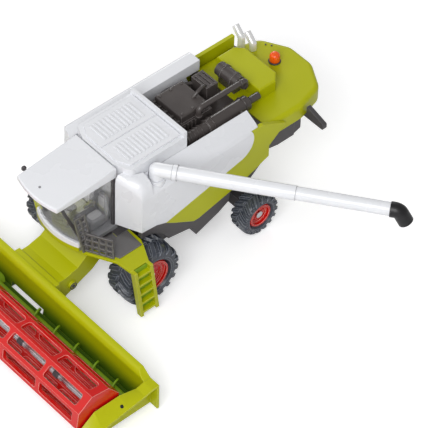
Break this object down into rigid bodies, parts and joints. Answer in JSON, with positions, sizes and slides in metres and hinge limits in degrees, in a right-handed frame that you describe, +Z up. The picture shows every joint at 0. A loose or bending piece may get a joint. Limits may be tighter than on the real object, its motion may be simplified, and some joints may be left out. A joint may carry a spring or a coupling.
{
  "type": "toy combine harvester",
  "caption": "Toy combine harvester with a hollow cab, ribbed grain tank, open engine bay, lugged wheels, swinging unloading tube and a lifting header with turning reel and auger.",
  "frame": {"origin": "middle of the bounding box's underside, on the floor, with the unloading tube swung out as at rest", "axes": "+X forward to the header, +Y to the machine's left, +Z up"},
  "size_m": [0.377, 0.3596, 0.1313],
  "materials": {
    "black_rubber": "soft black plastic",
    "chrome": "bright plated",
    "dark_plastic": "satin dark grey moulded plastic",
    "glass": "clear moulded plastic",
    "lime_plastic": "glossy lime green paint",
    "orange_plastic": "translucent orange plastic",
    "red_plastic": "glossy red moulded plastic",
    "seat_plastic": "satin grey moulded plastic",
    "steel": "bright steel rod",
    "tyre": "blue-grey toy tyre rubber",
    "white_plastic": "glossy white paint on moulded plastic"
  },
  "bodies": {
    "machine": {"front_axle": "steel", "rear_axle": "steel", "chassis_frame": "dark_plastic", "axle_carriers": "dark_plastic", "feeder_ears": "dark_plastic", "feeder_pin": "steel", "tow_hitch": "dark_plastic", "tank_body": "white_plastic", "tank_lid": "white_plastic", "bay_floor": "dark_plastic", "left_side_panel": "white_plastic", "left_lower_panel": "lime_plastic", "left_skirt": "dark_plastic", "right_side_panel": "white_plastic", "right_lower_panel": "lime_plastic", "right_skirt": "dark_plastic", "tool_boxes": "dark_plastic", "rear_hood": "lime_plastic", "straw_chopper": "dark_plastic", "hood_box": "lime_plastic", "beacon": "orange_plastic", "exhaust_stack": "chrome", "lamp_arms": "dark_plastic", "engine_block": "dark_plastic", "radiator_box": "dark_plastic", "air_cleaner": "dark_plastic", "muffler": "dark_plastic", "cab_floor": "dark_plastic", "cab_sill": "white_plastic", "cab_roof": "white_plastic", "cab_pillars": "dark_plastic", "cab_glazing": "glass", "driver_seat": "seat_plastic", "steering_column": "dark_plastic", "left_platform": "lime_plastic", "right_platform": "lime_plastic", "platform_mat": "dark_plastic", "platform_railing": "dark_plastic", "ladder": "lime_plastic", "tube_turret": "white_plastic"},
    "front_left_wheel": {"front_left_tyre": "tyre", "front_left_rim": "red_plastic"},
    "front_right_wheel": {"front_right_tyre": "tyre", "front_right_rim": "red_plastic"},
    "rear_left_wheel": {"rear_left_tyre": "tyre", "rear_left_rim": "red_plastic"},
    "rear_right_wheel": {"rear_right_tyre": "tyre", "rear_right_rim": "red_plastic"},
    "header": {"feeder_house": "lime_plastic", "header_back": "lime_plastic", "header_floor": "lime_plastic", "left_end_plate": "lime_plastic", "right_end_plate": "lime_plastic", "reel_axle": "steel", "auger_axle": "steel"},
    "reel": {"reel": "red_plastic"},
    "intake_auger": {"intake_auger": "lime_plastic"},
    "unloading_tube": {"unloading_tube": "white_plastic", "tube_spout": "black_rubber"}
  },
  "joints": [
    {"name": "front_left_roll", "type": "hinge", "parent": "machine", "child": "front_left_wheel", "pos_m": [0.0285, 0.03816, 0.0285], "axis": [0, 1, 0], "continuous": true},
    {"name": "front_right_roll", "type": "hinge", "parent": "machine", "child": "front_right_wheel", "pos_m": [0.0285, -0.09184, 0.0285], "axis": [0, 1, 0], "continuous": true},
    {"name": "rear_left_roll", "type": "hinge", "parent": "machine", "child": "rear_left_wheel", "pos_m": [-0.0885, 0.03816, 0.0195], "axis": [0, 1, 0], "continuous": true},
    {"name": "rear_right_roll", "type": "hinge", "parent": "machine", "child": "rear_right_wheel", "pos_m": [-0.0885, -0.09184, 0.0195], "axis": [0, 1, 0], "continuous": true},
    {"name": "header_lift", "type": "hinge", "parent": "machine", "child": "header", "pos_m": [0.0525, -0.02684, 0.046], "axis": [0, -1, 0], "range_deg": [0, 12]},
    {"name": "reel_turn", "type": "hinge", "parent": "header", "child": "reel", "pos_m": [0.1515, -0.02684, 0.0285], "axis": [0, 1, 0], "continuous": true},
    {"name": "auger_turn", "type": "hinge", "parent": "header", "child": "intake_auger", "pos_m": [0.1215, -0.02684, 0.0154], "axis": [0, 1, 0], "continuous": true},
    {"name": "tube_swing", "type": "hinge", "parent": "machine", "child": "unloading_tube", "pos_m": [0.0055, 0.01316, 0.119], "axis": [0, 0, 1], "range_deg": [-45, 53.5]}
  ]
}
